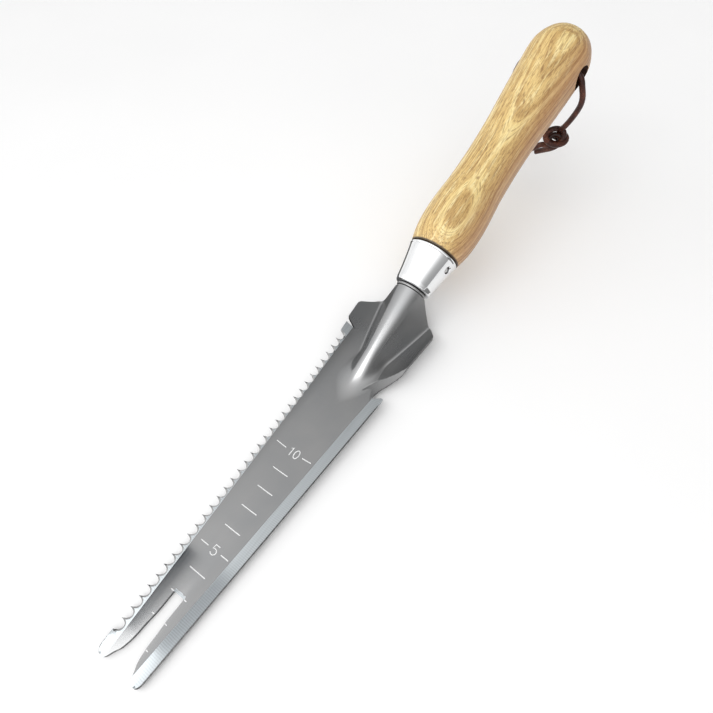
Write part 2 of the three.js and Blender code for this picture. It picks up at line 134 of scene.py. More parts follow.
def place(point):
    """A point of the blade frame, in millimetres, as a point of the row frame, in metres."""
    return (Vector(point) + ZERO) * MM


def on_handle(across, along, over):
    """A point of the handle's own frame, from the junction, as a point of the blade frame."""
    return JUNCTION + HANDLE_TURN @ Vector((across, along, over))


# --- Camera ---

CAMERA_AT = (84.87, 45.12, 218.65)
CAMERA_FORWARD = Vector((-0.35242, 0.42367, -0.83445))
CAMERA_ROLL = radians(-4.8)
LENS, NEAREST = 27.325, 0.01


def add(name, data):
    """A new object in the scene."""
    made = bpy.data.objects.new(name, data)
    bpy.context.collection.objects.link(made)
    return made


def make_camera():
    data = bpy.data.cameras.new("camera")
    data.lens = LENS
    data.clip_start = NEAREST
    camera = add("camera", data)
    turn = CAMERA_FORWARD.to_track_quat("-Z", "Y").to_matrix().to_4x4()
    roll = Matrix.Rotation(CAMERA_ROLL, 4, "Z")
    camera.matrix_world = Matrix.Translation(place(CAMERA_AT)) @ turn @ roll
    bpy.context.scene.camera = camera


# --- Shader building ---

NOISE_LOW, NOISE_HIGH = 0.3, 0.7  # the values between which a noise texture mostly lies
DULL_START, DULL_END, DULL_BY = 156, 190, 0.17  # the neck grows rougher from here to there
GRAIN_TURN = radians(14)  # the flat-sawn face, from the top toward the knife side
PITH_BELOW = 0.058  # metres from the handle's axis to the tree's centre
RING_WANDER, TREE_TAPER = 0.0036, 0.006  # how unevenly the rings lie, and how they widen along
SHADED_SIDE_START, SHADED_SIDE_END, SHADED_SIDE_WANDER = 0.005, 0.016, 0.006  # the side painted redder and darker as shade, in metres from the axis
GAP_SHADE_END = 0.0016  # the painted shade of the gap at the ferrule ends here


class Nodes:
    """Short calls that add shader nodes to a tree."""

    def __init__(self, tree):
        self.tree = tree

    def node(self, kind, inputs=None, **settings):
        made = self.tree.nodes.new("ShaderNode" + kind)
        for key, value in settings.items():
            setattr(made, key, value)
        for key, value in (inputs or {}).items():
            if isinstance(value, bpy.types.NodeSocket):
                self.tree.links.new(value, made.inputs[key])
            else:
                made.inputs[key].default_value = value
        return made

    def math(self, operation, first, second=0.5):
        return self.node("Math", {0: first, 1: second}, operation=operation).outputs[0]

    def span(self, value, low, high, to_low=0.0, to_high=1.0, shape="SMOOTHSTEP"):
        return self.node("MapRange", {
            "Value": value, "From Min": low, "From Max": high, "To Min": to_low,
            "To Max": to_high}, interpolation_type=shape).outputs[0]

    def ramp(self, value, *stops, shape="LINEAR"):
        """The colour at a value, from stops that are a position and a colour each."""
        made = self.node("ValToRGB", {"Fac": value})
        made.color_ramp.interpolation = shape
        elements = made.color_ramp.elements
        while len(elements) < len(stops):
            elements.new(0.5)
        for element, (position, colour) in zip(elements, stops):
            element.position = position
            element.color = (*colour, 1)
        return made.outputs["Color"]


class Finish(Nodes):
    """A material with a principled shader, and what feeds it."""

    def __init__(self, name, **values):
        self.material = bpy.data.materials.new(name)
        self.material.use_nodes = True
        super().__init__(self.material.node_tree)
        self.shader = self.tree.nodes["Principled BSDF"]
        for socket, value in values.items():
            self.shader.inputs[socket.replace("_", " ")].default_value = value
        self.coordinates = self.node("TexCoord").outputs["Object"]

    def turn_to(self, origin, turn):
        """From here on the coordinates are those of a turned frame, in metres."""
        self.coordinates = self.node("Mapping", {
            "Vector": self.coordinates, "Location": origin, "Rotation": turn.to_euler()},
            vector_type="TEXTURE").outputs[0]

    def parts(self):
        """The three numbers of the coordinates."""
        return self.node("SeparateXYZ", {"Vector": self.coordinates}).outputs

    def noise(self, scale, detail=2.0, roughness=0.5):
        """Noise with so many cells per metre, or so many along each axis."""
        vector = self.coordinates
        if not isinstance(scale, float):
            vector = self.node("Mapping", {"Vector": vector, "Scale": scale}).outputs[0]
            scale = 1.0
        return self.node("TexNoise", {
            "Vector": vector, "Scale": scale, "Detail": detail, "Roughness": roughness}).outputs["Fac"]

    def blend(self, first, first_share, second, second_share):
        """The sum of two values, each times its share."""
        return self.math("ADD", self.math("MULTIPLY", first, first_share),
                         self.math("MULTIPLY", second, second_share))

    def mix(self, factor, first, second):
        made = self.node("Mix", {0: factor}, data_type="RGBA")
        for socket, value in ((made.inputs[6], first), (made.inputs[7], second)):
            if isinstance(value, bpy.types.NodeSocket):
                self.tree.links.new(value, socket)
            else:
                socket.default_value = (*value, 1)
        return made.outputs[2]

    def feed(self, socket, value):
        self.tree.links.new(value, self.shader.inputs[socket])

    def tint(self, value, dark, pale):
        """Base colour from dark to pale over the range that a noise mostly has."""
        self.feed("Base Color", self.ramp(value, (NOISE_LOW, dark), (NOISE_HIGH, pale)))

    def dull(self, value, low, high):
        """Roughness from low to high over the range that a noise mostly has."""
        self.feed("Roughness", self.span(value, NOISE_LOW, NOISE_HIGH, low, high))

    def bump(self, height, distance, strength=1.0):
        normal = self.node("Bump", {
            "Height": height, "Distance": distance, "Strength": strength})
        self.feed("Normal", normal.outputs[0])


def polished_steel():
    """Rolled sheet with lines along it, duller on the neck, toward the ferrule."""
    finish = Finish("polished_steel", Metallic=1.0)
    lines = finish.noise((900, 40, 900), 3.0)
    cloud = finish.noise(60.0)
    finish.tint(cloud, (0.335, 0.34, 0.345), (0.37, 0.37, 0.37))
    start, end = (place((0, y, 0)).y for y in (DULL_START, DULL_END))
    worn = finish.span(finish.parts()[1], start, end, 0.0, DULL_BY)
    smooth = finish.span(lines, 0.25, 0.75, 0.18, 0.24)
    finish.feed("Roughness", finish.math("ADD", smooth, worn))
    finish.bump(lines, 0.0000008)
    return finish


def ground_steel():
    """Ground bevels: bright, with fine lines across the edge and a few along it."""
    finish = Finish("ground_steel", Metallic=1.0)
    across = finish.node("TexWave", {"Vector": finish.coordinates, "Scale": 370.0,
                                     "Distortion": 1.2, "Detail": 1.0},
                         bands_direction="Y").outputs["Fac"]
    along = finish.noise((2400, 12, 2400), 1.0)
    grain = finish.blend(across, 0.5, along, 0.7)
    tone = finish.span(grain, 0.2, 0.9)
    finish.feed("Base Color", finish.ramp(tone, (0, (0.41, 0.435, 0.45)), (1, (0.53, 0.565, 0.585))))
    finish.feed("Roughness", finish.span(tone, 0, 1, 0.3, 0.42))
    finish.bump(grain, 0.000006)
    return finish


def edge_steel(name, dark, bright):
    """Sheared or honed rims. On the sheared rims the near-black base colour is painted shade."""
    finish = Finish(name, Metallic=1.0)
    streaks = finish.noise((1200, 1200, 300))
    finish.tint(streaks, (dark,) * 3, (bright,) * 3)
    finish.dull(streaks, 0.25, 0.4)
    finish.bump(streaks, 0.00001)
    return finish


def etched_white():
    finish = Finish("etched_white", Metallic=0.2)
    frost = finish.noise(4000.0)
    finish.tint(frost, (0.8, 0.81, 0.81), (0.95, 0.95, 0.95))
    finish.dull(frost, 0.6, 0.8)
    finish.bump(frost, 0.00001)
    return finish


def chrome():
    finish = Finish("chrome_plate", Metallic=1.0)
    haze = finish.noise(90.0, 3.0)
    finish.tint(haze, (0.84, 0.85, 0.86), (0.9, 0.905, 0.91))
    finish.dull(haze, 0.045, 0.09)
    waviness = finish.noise(120.0, 1.0)
    finish.bump(waviness, 0.00003)
    return finish


def drawn_rod(name, bright):
    """Plain steel with lines along the handle's axis."""
    finish = Finish(name, Metallic=1.0)
    finish.turn_to(place(JUNCTION), HANDLE_TURN)
    lines = finish.noise((2500, 60, 2500), 3.0)
    finish.tint(lines, (bright * 0.6,) * 3, (bright,) * 3)
    finish.dull(lines, 0.38, 0.55)
    finish.bump(lines, 0.00002)
    return finish


def year_rings(finish, wander):
    """Distance from the tree's centre in metres, made uneven as growth is."""
    across, along, over = finish.parts()
    height = finish.math("ADD", over, PITH_BELOW)
    square = finish.math("ADD", finish.math("MULTIPLY", across, across),
                         finish.math("MULTIPLY", height, height))
    radius = finish.math("SQRT", square)
    radius = finish.math("ADD", radius, finish.math("MULTIPLY", wander, RING_WANDER))
    return finish.math("ADD", radius, finish.math("MULTIPLY", along, TREE_TAPER))


def layers(finish, radius, per_metre):
    """Noise by the distance from the tree's centre alone."""
    return finish.node("TexNoise", {
        "W": finish.math("MULTIPLY", radius, per_metre), "Scale": 1.0, "Detail": 1.0,
        "Roughness": 0.6}, noise_dimensions="1D").outputs["Fac"]


def ash_wood():
    """Flat-sawn ring-porous wood under a clear coat: its layers are cylinders about the pith."""
    finish = Finish("ash_wood", Coat_Weight=0.25, Coat_Roughness=0.16, Coat_IOR=1.5)
    finish.turn_to(place(JUNCTION), HANDLE_TURN @ Matrix.Rotation(GRAIN_TURN, 3, "Y"))
    wander = finish.noise((28, 9, 28))
    radius = year_rings(finish, wander)
    ring = finish.span(layers(finish, radius, 820.0), 0.36, 0.66)
    line = finish.span(layers(finish, radius, 3600.0), 0.52, 0.68)
    fibre = finish.noise((2400, 60, 2400), 3.0, 0.65)
    broken = finish.span(finish.noise((900, 55, 900)), 0.4, 0.62)
    streak = finish.math("MULTIPLY", line, broken)
    pores = finish.span(finish.noise((3200, 330, 3200), 1.0), 0.53, 0.68)
    porous = finish.math("MULTIPLY", pores, finish.span(ring, 0.0, 0.7, 0.35, 1.0))
    fleck = finish.span(finish.noise((1050, 95, 1050), 3.0, 0.7), 0.5, 0.64)
    pale = finish.span(finish.noise((800, 60, 800)), 0.52, 0.68)
    tone = finish.blend(ring, 0.45, fibre, 0.6)
    colour = finish.ramp(tone, (0.16, (0.88, 0.72, 0.34)), (0.42, (0.78, 0.57, 0.23)),
                         (0.68, (0.6, 0.39, 0.14)), (0.95, (0.38, 0.23, 0.07)))
    for mark, share, tinge in ((pale, 0.5, (0.94, 0.82, 0.45)), (fleck, 0.62, (0.44, 0.26, 0.09)),
                               (streak, 0.7, (0.27, 0.14, 0.045)), (porous, 0.7, (0.25, 0.13, 0.04))):
        colour = finish.mix(finish.math("MULTIPLY", mark, share), colour, tinge)
    across, along, _ = finish.parts()
    # Painted shade: the grip turns redder and darker toward its +X side, the side that the lights leave
    # dim.
    side = finish.math("ADD", across, finish.math("MULTIPLY", wander, SHADED_SIDE_WANDER))
    shaded_side = finish.span(side, SHADED_SIDE_START, SHADED_SIDE_END, 0.0, 0.7)
    colour = finish.mix(shaded_side, colour, finish.mix(tone, (0.6, 0.3, 0.15), (0.24, 0.09, 0.04)))
    # Painted shadow: the wood turns near black next to the ferrule, standing in for the shade in the gap
    # between them.
    gap_shade = finish.span(along, GAP_SHADE_END / 2, GAP_SHADE_END, 0.92, 0.0)
    finish.feed("Base Color", finish.mix(gap_shade, colour, (0.02, 0.01, 0.006)))
    finish.dull(fibre, 0.42, 0.55)
    finish.bump(finish.math("SUBTRACT", fibre, porous), 0.00005, 0.8)
    return finish


def painted_shade_bore():
    """The inside of the lace's hole, painted near black as the shade that falls inside it."""
    finish = Finish("painted_shade_bore", Roughness=0.8, Specular_IOR_Level=0.1)
    tinge = finish.noise(700.0, 3.0, 0.6)
    finish.tint(tinge, (0.008, 0.003, 0.002), (0.05, 0.022, 0.012))
    finish.bump(tinge, 0.0001)
    return finish


def leather():
    finish = Finish("waxed_leather", Coat_Weight=0.08, Coat_Roughness=0.3, Specular_IOR_Level=0.3)
    grain = finish.noise(1400.0, 3.0, 0.6)
    worn = finish.noise(140.0, 3.0)
    tone = finish.blend(grain, 0.4, worn, 0.6)
    finish.feed("Base Color", finish.ramp(tone, (0.32, (0.01, 0.003, 0.0015)), (0.5, (0.05, 0.012, 0.006)),
                                          (0.68, (0.17, 0.058, 0.032))))
    finish.dull(worn, 0.34, 0.52)
    finish.bump(grain, 0.00012, 0.8)
    return finish


def matt_paint(name, colour):
    """Paint of the floor and the cards, a little uneven."""
    finish = Finish(name, Roughness=0.85, Specular_IOR_Level=0.1)
    mottle = finish.noise(8.0, 3.0)
    finish.tint(mottle, colour, tuple(min(1.02 * v, 0.97) for v in colour))
    return finish


# --- Mesh building ---

CREASE, BLADE_CREASE = radians(32), radians(25)  # edges that turn by more stay sharp


def make_piece(name, points, faces, finishes, slot, smooth=True):
    """A piece of the tool's body from points of the blade frame."""
    mesh = bpy.data.meshes.new(name)
    mesh.from_pydata([place(p) for p in points], [], faces)
    mesh.validate()
    for finish in finishes:
        mesh.materials.append(finish.material)
    if smooth:
        mesh.shade_smooth()
    made = add(name, mesh)
    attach(made, "tool")
    return made


def cut(made, *tools):
    """Cuts tools, made as pieces, out of a piece's mesh and removes them."""
    for tool in tools:
        modifier = made.modifiers.new("cut", "BOOLEAN")
        modifier.operation = "DIFFERENCE"
        modifier.solver = "EXACT"
        modifier.material_mode = "TRANSFER"
        modifier.object = tool
    ready = made.evaluated_get(bpy.context.evaluated_depsgraph_get())
    mesh = bpy.data.meshes.new_from_object(ready)
    made.modifiers.clear()
    made.data = mesh
    for tool in tools:
        bpy.data.objects.remove(tool)


def mark_sharp(made, angle=CREASE):
    """Makes edges sharp between two finishes and where the surface turns by more than angle."""
    shape = bmesh.new()
    shape.from_mesh(made.data)
    for edge in shape.edges:
        faces = edge.link_faces
        edge.smooth = (len(faces) == 2 and faces[0].material_index == faces[1].material_index
                       and edge.calc_face_angle(0) < angle)
    shape.to_mesh(made.data)
    shape.free()


def lathe(profile, segments, turn=Matrix.Identity(3), centre=(0, 0, 0)):
    """Points and faces of a profile turned about the handle's axis. Each end is on the axis,
    or else the profile closes on itself. turn swings the axis about centre, on the handle."""
    points, rings = [], []
    for along, radius in profile:
        count = 1 if radius == 0 else segments
        rings.append(list(range(len(points), len(points) + count)))
        for k in range(count):
            angle = 2 * pi * k / segments
            local = Vector((radius * cos(angle), along, radius * sin(angle)))
            points.append(on_handle(*(turn @ local + Vector(centre))))
    closed = len(rings[0]) > 1
    faces = []
    for i in range(len(rings) if closed else len(rings) - 1):
        low, high = rings[i], rings[(i + 1) % len(rings)]
        for k in range(segments):
            n = (k + 1) % segments
            if len(low) == 1:
                faces.append((low[0], high[k], high[n]))
            elif len(high) == 1:
                faces.append((low[k], high[0], low[n]))
            else:
                faces.append((low[k], high[k], high[n], low[n]))
    return points, faces


def curve_through(points, steps):
    """Points on a Catmull-Rom curve through the given ones."""
    given = [2 * Vector(points[0]) - Vector(points[1])] + [Vector(p) for p in points]
    given.append(2 * given[-1] - given[-2])
    found = []
    for i in range(1, len(given) - 2):
        a, b, c, d = given[i - 1:i + 3]
        for k in range(steps):
            t = k / steps
            found.append(0.5 * (2 * b + (c - a) * t + (2 * a - 5 * b + 4 * c - d) * t * t
                                + (3 * b - a - 3 * c + d) * t ** 3))
    return found + [given[-2]]


# --- Blade ---

SHEET_ZONE, GROUND_ZONE, RIM_ZONE, HONED_ZONE = 0, 1, 2, 3


def trough(x):
    """Height of the upper side of the plain trough."""
    return TROUGH_RADIUS - np.sqrt(TROUGH_RADIUS ** 2 - x * x)


def ridge(x, y):
    """Height of the half-conical neck: a round crown with straight flanks."""
    run = (y - NECK_START) / (NECK_END - NECK_START)
    settle = np.clip((y - NECK_START) / FLANK_OVER, 0, 1)
    settle = settle * settle * (3 - 2 * settle)
    flank = FLANK_START + (FLANK_END - FLANK_START) * settle
    height = NECK_START_RADIUS + (NECK_END_RADIUS - NECK_START_RADIUS) * run
    radius = height + NOSE_ROUND * (1 - settle)
    stretch = 1 / cos(TILT)
    centre = JUNCTION.z + (y - JUNCTION.y) * tan(TILT)
    side = np.abs(x)
    touch = radius * np.sin(flank)
    crown = np.sqrt(np.maximum(radius ** 2 - side ** 2, 0))
    straight = radius * np.cos(flank) - (side - touch) * np.tan(flank)
    return centre + stretch * (height - radius + np.where(side < touch, crown, straight))


def upper(x, y):
    """Height of the unground upper side, the ridge melting into the trough."""
    low = trough(x)
    first = NECK_START - NOSE_REACH
    high = np.where(y < first, low - 2 * NECK_BLEND, ridge(x, np.maximum(y, first)))
    near = np.maximum(NECK_BLEND - np.abs(high - low), 0) / NECK_BLEND
    return np.maximum(high, low) + near * near * NECK_BLEND * 0.25


def slopes(x, y):
    """Steepness of the unground upper side along X and along Y."""
    step = 0.02
    return ((upper(x + step, y) - upper(x - step, y)) / (2 * step),
            (upper(x, y + step) - upper(x, y - step)) / (2 * step))


def standing(x, y):
    """Vertical thickness of the sheet for each millimetre of its true thickness."""
    slope_x, slope_y = slopes(x, y)
    return np.sqrt(1 + slope_x ** 2 + slope_y ** 2)


def edge_line(y):
    """Half the width of the blade."""
    even = TIP_HALF_WIDTH + EDGE_SLOPE * min(y, FLARE)
    if y <= FLARE:
        return even
    return even + (SHOULDER_X - even) * (y - FLARE) / (SHOULDER_Y - FLARE)


def wheel_height(x, y):
    """Height of the hollow bevel that a grinding wheel leaves along the cord cutter."""
    foot, head = Vector(CUTTER_FOOT), Vector(CUTTER_HEAD)
    edge = head - foot
    on_edge = foot + edge * ((WHEEL_ALONG - foot.y) / edge.y)
    outward = Vector((edge.y, -edge.x)).normalized()
    inside = on_edge - outward * WHEEL_GRIND
    low = Vector((*on_edge, trough(on_edge.x) - SHEET + EDGE_LEFT))
    axis = (low - Vector((*inside, trough(inside.x)))).normalized()
    forward = Vector((*edge, trough(head.x) - trough(foot.x))).normalized()
    forward = (forward - axis * forward.dot(axis)).normalized()
    lift = axis.cross(forward).normalized()
    lift = lift if lift.z > 0 else -lift
    centre = low + lift * WHEEL_RADIUS
    base = np.stack([x - centre.x, y - centre.y, np.full_like(x, -centre.z)], -1)
    away = base - (base @ np.array(axis))[..., None] * np.array(axis)
    upright = np.array([0, 0, 1]) - axis.z * np.array(axis)
    a, b, c = upright @ upright, away @ upright, (away ** 2).sum(-1) - WHEEL_RADIUS ** 2
    return (-b - np.sqrt(np.maximum(b * b - a * c, 0))) / a


def slit_line(x):
    """The height along Y of the slit's middle at x, on the toothed side."""
    inner = -edge_line(SLIT_INNER) + SLIT_DEPTH
    return SLIT_INNER + (inner - x) * (SLIT_EDGE - SLIT_INNER) / SLIT_DEPTH


def in_cutter(x, y):
    """Whether the grinding wheel can reach a place."""
    edge = Vector(CUTTER_HEAD) - Vector(CUTTER_FOOT)
    inside = ((CUTTER_FOOT[0] - x) * edge.y - (CUTTER_FOOT[1] - y) * edge.x) / edge.length
    near = (inside < WHEEL_GRIND + WHEEL_SPILL) & (x > CUTTER_LEFT) & (y > CUTTER_LOW) & (y < CUTTER_HIGH)
    return near & ((y > WHEEL_CLEAR) | (x < NOTCH_FLOOR))


class Outline:
    """A flat outline drawn onward from a point, or from points that it is given."""

    def __init__(self, *start, points=None):
        self.points = points or [Vector(start)]

    def line(self, x, y, step=0.7):
        start, end = self.points[-1], Vector((x, y))
        count = max(1, round((end - start).length / step))
        self.points += [start.lerp(end, k / count) for k in range(1, count + 1)]

    def bow(self, *controls, steps=8):
        """A Bezier curve through two or three more control points."""
        hull = [self.points[-1]] + [Vector(p) for p in controls]
        for k in range(1, steps + 1):
            row = hull
            while len(row) > 1:
                row = [a.lerp(b, k / steps) for a, b in zip(row, row[1:])]
            self.points.append(row[0])


def gullets():
    """The hollows between the teeth, from the handle's side to the tip."""
    reach = TOOTH_DEPTH * 4 / 3  # a Bezier curve goes 3/4 of the way to its two handles
    found = []
    for k in reversed(range(TOOTH_COUNT)):
        y = TOOTH_FIRST + k * TOOTH_PITCH
        following = y + TOOTH_PITCH
        curve = Outline(-edge_line(following), following)
        curve.bow((-edge_line(following) + reach, following - GULLET_LEAN[0]),
                  (-edge_line(y) + reach, y + GULLET_LEAN[1]), (-edge_line(y), y), steps=16)
        found.append(curve.points)
    return found


def knife_edge():
    """The edge from the knife side's tip to the notch."""
    curve = Outline(TINE_MIDDLE, TINE_END)
    curve.bow((edge_line(0) - 0.3, TINE_END), (edge_line(2), 2))
    curve.line(edge_line(NOTCH_TIP - 2), NOTCH_TIP - 2)
    return curve.points


def toothed_tip():
    """The edge from the last tooth round the toothed side's tip."""
    curve = Outline(-edge_line(TOOTH_FIRST), TOOTH_FIRST)
    curve.line(-edge_line(2), 2)
    curve.bow((-edge_line(0) + 0.3, TINE_END), (-TINE_MIDDLE, TINE_END))
    return curve.points


def slot_end():
    """The closed end of the fork's slot."""
    curve = Outline(-SLOT_HALF, SLOT_TOP)
    curve.line(SLOT_HALF, SLOT_TOP, 0.4)
    return curve.points


def honed_curves():
    """Edges with a narrow bevel: points with the metal on their left, the bevel's width, the
    thickness left on the edge and the finish."""
    found = [(curve, GULLET_BEVEL, HONED_LEFT, HONED_ZONE) for curve in gullets()]
    found.append((slot_end(), SLOT_BEVEL, SLOT_LEFT, GROUND_ZONE))
    found.append((toothed_tip(), TIP_BEVEL, HONED_LEFT, RIM_ZONE))
    return found + [(knife_edge(), KNIFE_BEVEL, HONED_LEFT, RIM_ZONE)]


def honed_width(k, count, width):
    """Width of the bevel at the k-th of count points of a honed curve, narrow at both ends."""
    share = min(k, count - 1 - k) / HONED_RAMP
    return max(width * sqrt(min(share, 1)), HONED_LEAST)


def honed_inner(curve, width):
    """The inner line of a honed curve's bevel, clear of the bevels beside it."""
    skipped, found = 3, []
    for k in range(skipped, len(curve) - skipped):
        along = (curve[k + 1] - curve[k - 1]).normalized()
        found.append(curve[k] + Vector((-along.y, along.x)) * honed_width(k, len(curve), width))
    return found


def honed_share(x, y):
    """How far each point is across the nearest honed bevel, 0 on the edge and 1 outside, with
    that bevel's finish and the thickness left on its edge."""
    share, zone, left = np.ones_like(x), np.full(len(x), SHEET_ZONE), np.full_like(x, HONED_LEFT)
    for curve, width, thickness, finish in honed_curves():
        low, high = np.min(curve, 0) - width, np.max(curve, 0) + width
        chosen = np.flatnonzero((x > low[0]) & (x < high[0]) & (y > low[1]) & (y < high[1]))
        for k, p in enumerate(curve):
            away = np.hypot(x[chosen] - p.x, y[chosen] - p.y) / honed_width(k, len(curve), width)
            nearer = away < share[chosen]
            zone[chosen[nearer]] = finish
            left[chosen[nearer]] = thickness
            share[chosen] = np.minimum(share[chosen], away)
    return share, zone, left


def surfaces(x, y):
    """Heights of the upper and lower sides, and the finish of the upper side."""
    top = upper(x, y)
    stand = standing(x, y)
    under = top - SHEET * stand
    wide = np.array([edge_line(v) for v in y])
    knife = np.where(y < NOTCH_TIP + 0.8, (x - (wide - KNIFE_GRIND)) / KNIFE_GRIND, 0)
    inner = TOOTH_GRIND_START + TOOTH_GRIND_SLOPE * y
    toothed = np.where(y < slit_line(x), (-x - inner) / (wide - inner), 0)
    share = np.clip(np.maximum(knife, toothed), 0, 1)
    ground = top - (SHEET - EDGE_LEFT) * share * stand
    hollow = np.where(in_cutter(x, y), wheel_height(x, y), np.inf)
    ground = np.maximum(np.minimum(ground, hollow), under + EDGE_LEFT * 0.5)
    honed, finish, left = honed_share(x, y)
    ground = ground - (ground - under - left) * (1 - honed)
    zone = np.where(share > 0, GROUND_ZONE, SHEET_ZONE)
    return ground, under, np.where(honed < HONED_SEEN, finish, zone)


def cord_cutter(shape):
    """The hooked notch and the hollow-ground edge beside it."""
    wide = edge_line(NOTCH_TIP)
    foot_x, foot_y = CUTTER_FOOT
    shape.bow((wide, NOTCH_TIP + 0.2), (wide - 0.9, NOTCH_TIP + 0.3), steps=6)
    shape.bow((wide - 2.2, NOTCH_TIP + 0.4), (NOTCH_FLOOR + 2, NOTCH_TIP - 0.9))
    shape.bow((NOTCH_FLOOR + 0.6, NOTCH_TIP - 1.9), (NOTCH_FLOOR - 0.8, foot_y - NOTCH_WIDTH),
              CUTTER_FOOT, steps=12)
    shape.bow((foot_x + 0.8, foot_y + 3.4), (16.8, 151.4), CUTTER_HEAD, steps=26)
    shape.line(*CUTTER_END)


def toothed_edge(shape):
    """From the slit down the teeth and round the tip."""
    last = TOOTH_FIRST + TOOTH_COUNT * TOOTH_PITCH
    shape.line(-edge_line(last), last)
    for curve in gullets() + [toothed_tip()]:
        shape.points += curve[1:]


def fork_slot(shape):
    """Up one tine, across the slot's end and down the other tine."""
    half, corner = SLOT_HALF, SLOT_CORNER
    ends = [(TINE_MIDDLE, TINE_END)] + TINE_FLARE
    shape.points += curve_through([(-x, y) for x, y in ends], 8)[1:]
    shape.line(-half, SLOT_TOP - corner)
    shape.bow((-half, SLOT_TOP), (-half + corner, SLOT_TOP), steps=5)
    shape.line(half - corner, SLOT_TOP)
    shape.bow((half, SLOT_TOP), (half, SLOT_TOP - corner), steps=5)
    shape.line(half, TINE_FLARE[-1][1])
    shape.points += curve_through(ends[::-1], 8)[1:-1]


def blank_outline():
    """Outline of the blank seen from above, anticlockwise from the knife side's tip."""
    shape = Outline(points=knife_edge())
    x, y, rounded = SHOULDER_X, SHOULDER_Y, SHOULDER_ROUND
    (kx, ky), kr = KNIFE_SHOULDER, KNIFE_ROUND
    cord_cutter(shape)
    shape.line(kx - 0.1, ky - kr)
    shape.bow((kx, ky), (kx - 0.7, ky + kr), steps=5)
    shape.line(x - 4.6, y + 7)
    shape.bow((x - 6, y + 9.2), (x - 9.6, y + 9.6), (x - 13.6, y + 13.4), steps=16)
    shape.line(-x + 13.6, y + 13.4)
    shape.bow((-x + 9.8, y + 12.2), (-x + 7.3, y + 12), (-x + 4.6, y + 7), steps=16)
    shape.line(-x + 0.9, y + rounded)
    shape.bow((-x, y), (-x + 0.1, y - rounded), steps=5)
    shape.line(-edge_line(SLIT_EDGE + SLIT_HALF_MOUTH), SLIT_EDGE + SLIT_HALF_MOUTH)
    for half_end in (SLIT_HALF_END, -SLIT_HALF_END):
        shape.line(-edge_line(SLIT_INNER) + SLIT_DEPTH, SLIT_INNER + half_end)
    shape.line(-edge_line(SLIT_EDGE), SLIT_EDGE - SLIT_HALF_MOUTH)
    toothed_edge(shape)
    fork_slot(shape)
    return shape.points


def grind_lines():
    """Where each ground strip begins: lines that the mesh has edges along."""
    gap = 0.8
    knife = [Vector((edge_line(y) - KNIFE_GRIND, y)) for y in np.arange(2.4, NOTCH_TIP - 1.2, gap)]
    toothed = [Vector((-TOOTH_GRIND_START - TOOTH_GRIND_SLOPE * y, y))
               for y in np.arange(0, SLIT_INNER - 0.1, gap)]
    honed = [honed_inner(curve, width) for curve, width, *_ in honed_curves()]
    return [knife, toothed, wheel_line()] + honed


def wheel_line():
    """The inner line of the wheel's cut, found by going inward from the cord cutter's edge."""
    found = []
    foot, head = Vector(CUTTER_FOOT), Vector(CUTTER_HEAD)
    forward = (head - foot).normalized()
    inward = Vector((-forward.y, forward.x))
    inset = np.arange(0, 6, 0.02)
    for along in np.arange(-6, 24, 0.6):
        x = foot.x + forward.x * along + inward.x * inset
        y = foot.y + forward.y * along + inward.y * inset
        above = (wheel_height(x, y) < upper(x, y)) & in_cutter(x, y)
        if above.any():
            k = np.flatnonzero(above)[-1]
            found.append(Vector((x[k], y[k])))
    return found


MESH_GAP, NECK_GAP, NECK_LEAD = 1.0, 0.52, 6  # gaps of the mesh, finer from just before the neck
MESH_SIDE, MESH_TOP, MESH_CLEAR, MERGED = 21.5, 193, 0.42, 1e-4


def fill_points(fixed):
    """Inner points of the blade's mesh, closer together on the neck, clear of the fixed ones."""
    near = KDTree(len(fixed))
    for k, p in enumerate(fixed):
        near.insert((*p, 0), k)
    near.balance()
    found = []
    finer = NECK_START - NECK_LEAD
    rows = [(y, MESH_GAP) for y in np.arange(TINE_END, finer, MESH_GAP)]
    rows += [(y, NECK_GAP) for y in np.arange(finer, MESH_TOP, NECK_GAP)]
    for row, (y, gap) in enumerate(rows):
        shift = gap / 2 if row % 2 else 0
        for x in np.arange(-MESH_SIDE + shift, MESH_SIDE, gap):
            if near.find((x, y, 0))[2] > MESH_CLEAR * gap:
                found.append(Vector((x, y)))
    return found


def blade():
    """The pressed and ground sheet over a flat mesh of its outline."""
    border = blank_outline()
    points, edges = list(border), []
    for line in grind_lines():
        edges += [(len(points) + k, len(points) + k + 1) for k in range(len(line) - 1)]
        points += line
    points += fill_points(points)
    flat, _, triangles, *_ = delaunay_2d_cdt(points, edges, [list(range(len(border)))], 1, MERGED)
    x, y = np.array([p.x for p in flat]), np.array([p.y for p in flat])
    top, under, _ = surfaces(x, y)
    middle = np.array([[x[list(t)].mean(), y[list(t)].mean()] for t in triangles])
    finish = surfaces(middle[:, 0], middle[:, 1])[2]
    faces, zones = sheet_faces(triangles, finish, len(flat))
    solid = list(zip(x, y, top)) + list(zip(x, y, under))
    # The sheared rims and the tip and knife bevels are painted near black: painted shade standing in for
    # their dark reflections.
    finishes = [polished_steel(), ground_steel(), edge_steel("edge_steel", 0.06, 0.14),
                edge_steel("honed_steel", 0.3, 0.42)]
    made = make_piece("blade_sheet", solid, faces, finishes, "blade_steel")
    made.data.polygons.foreach_set("material_index", zones)
    trim_neck(made)
    mark_sharp(made, BLADE_CREASE)
    smooth_sheet(made)
    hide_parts("blade")


def sheet_faces(triangles, finish, count):
    """Both sides of the sheet over the flat triangles, and its rim. The under side's points
    follow the upper side's count points."""
    faces, zones, rim = [], [], set()
    for (a, b, c), zone in zip(triangles, finish):
        faces += [(a, b, c), (a + count, c + count, b + count)]
        zones += [int(zone), SHEET_ZONE]
        for edge in ((a, b), (b, c), (c, a)):
            if edge[::-1] in rim:
                rim.remove(edge[::-1])
            else:
                rim.add(edge)
    for a, b in sorted(rim):
        faces.append((b, a, a + count, b + count))
        zones.append(RIM_ZONE)
    return faces, zones


